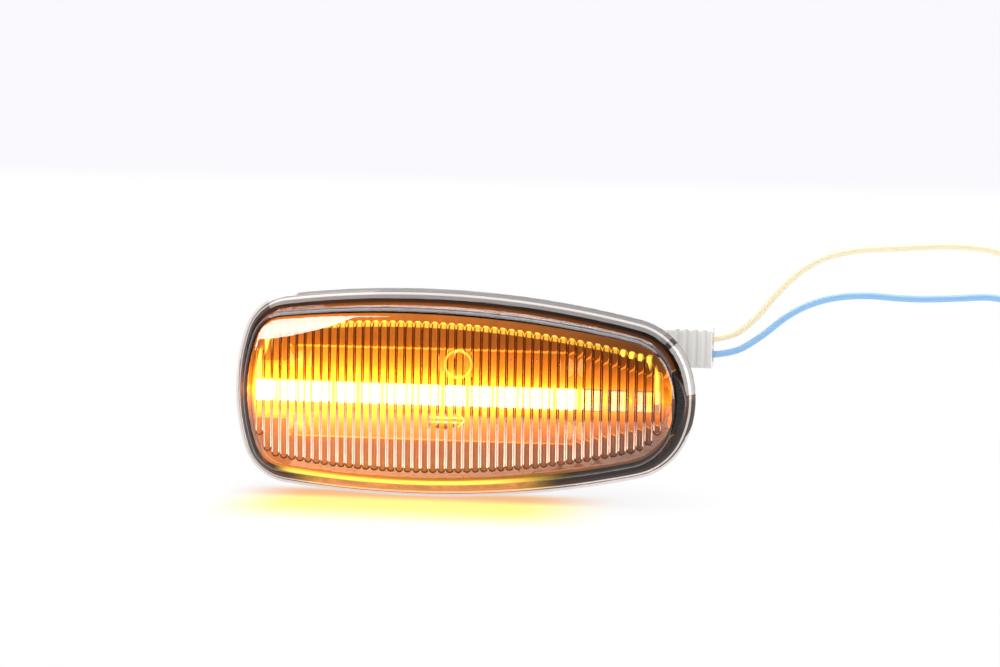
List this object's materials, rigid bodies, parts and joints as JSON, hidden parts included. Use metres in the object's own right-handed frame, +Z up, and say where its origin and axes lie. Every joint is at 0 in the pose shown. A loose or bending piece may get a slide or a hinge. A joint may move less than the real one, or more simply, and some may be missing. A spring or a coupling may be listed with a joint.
{
  "type": "side marker turn signal",
  "caption": "Smoked side marker turn signal for a car body, lit amber, with running light emitters behind a fluted lens, a plug and two leads",
  "frame": {"origin": "middle of the body panel's cut-out, on the plane where the gasket seats on the panel", "axes": "+X along the lamp towards its narrow end, +Y into the vehicle body, +Z up; the lens looks towards -Y"},
  "size_m": [0.2064, 0.0918, 0.0613],
  "materials": {
    "smoked_lens": "polished, see-through",
    "housing_black": "fine grain",
    "gasket_rubber": "matt",
    "vent_white": "matt film",
    "board_white": "white solder mask",
    "led_lit": "moulded package, lit amber",
    "led_dim": "moulded package, just lighting up",
    "zinc_steel": "zinc plated",
    "screw_nylon": "white nylon",
    "spring_steel": "rolled",
    "resistor_ceramic": "glazed",
    "chip_black": "moulded",
    "capacitor_can": "satin",
    "potting_black": "cast",
    "tinned_brass": "tin plated",
    "tinned_copper": "tinned strands",
    "seal_silicone": "soft",
    "plug_nylon": "natural nylon",
    "lead_yellow": "PVC insulation",
    "lead_blue": "PVC insulation"
  },
  "bodies": {
    "root": {"blue_lead": "lead_blue", "blue_lead_tip": "tinned_copper", "board_screws": "screw_nylon", "chip_resistors": "resistor_ceramic", "clip_screw": "zinc_steel", "driver_chip": "chip_black", "filter_capacitor": "capacitor_can", "lamp_housing": "housing_black", "led_01": "led_lit", "led_02": "led_lit", "led_03": "led_lit", "led_04": "led_lit", "led_05": "led_lit", "led_06": "led_lit", "led_07": "led_lit", "led_08": "led_lit", "led_09": "led_lit", "led_10": "led_lit", "led_11": "led_lit", "led_12": "led_lit", "led_13": "led_dim", "led_14": "led_dim", "led_15": "led_dim", "light_board": "board_white", "lower_crimp_terminal": "tinned_brass", "lower_terminal_pin": "tinned_brass", "lower_wire_seal": "seal_silicone", "outer_lens": "smoked_lens", "plug_housing": "plug_nylon", "polarity_diode": "chip_black", "potting_seal": "potting_black", "seal_gasket": "gasket_rubber", "spring_clip": "spring_steel", "upper_crimp_terminal": "tinned_brass", "upper_terminal_pin": "tinned_brass", "upper_wire_seal": "seal_silicone", "vent_membrane": "vent_white", "yellow_lead": "lead_yellow", "yellow_lead_tip": "tinned_copper"}
  },
  "joints": []
}
